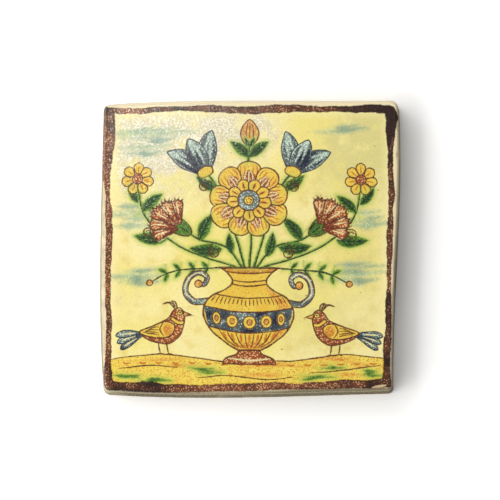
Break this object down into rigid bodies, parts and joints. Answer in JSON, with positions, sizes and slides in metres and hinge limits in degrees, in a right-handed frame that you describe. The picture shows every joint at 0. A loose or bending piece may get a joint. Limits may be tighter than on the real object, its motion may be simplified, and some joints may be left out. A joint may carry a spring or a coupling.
{
  "type": "painted ceramic tile",
  "caption": "Square hand-painted glazed ceramic wall tile with soft rounded edges, slightly bulging sides and blind keying channels in its flat back.",
  "frame": {"origin": "middle of the nominal 150 mm square, on the flat back face that beds on the wall", "axes": "+X to the picture's right, +Y to the picture's top, +Z out of the glazed face; the tile is stored lying on its back"},
  "size_m": [0.1525, 0.1525, 0.011],
  "materials": {
    "glazed_tile": "glossy cream-yellow glaze, hand-painted in brown, blue, green, yellow and orange, bare biscuit on the back"
  },
  "bodies": {
    "root": {"tile": "glazed_tile"}
  },
  "joints": []
}
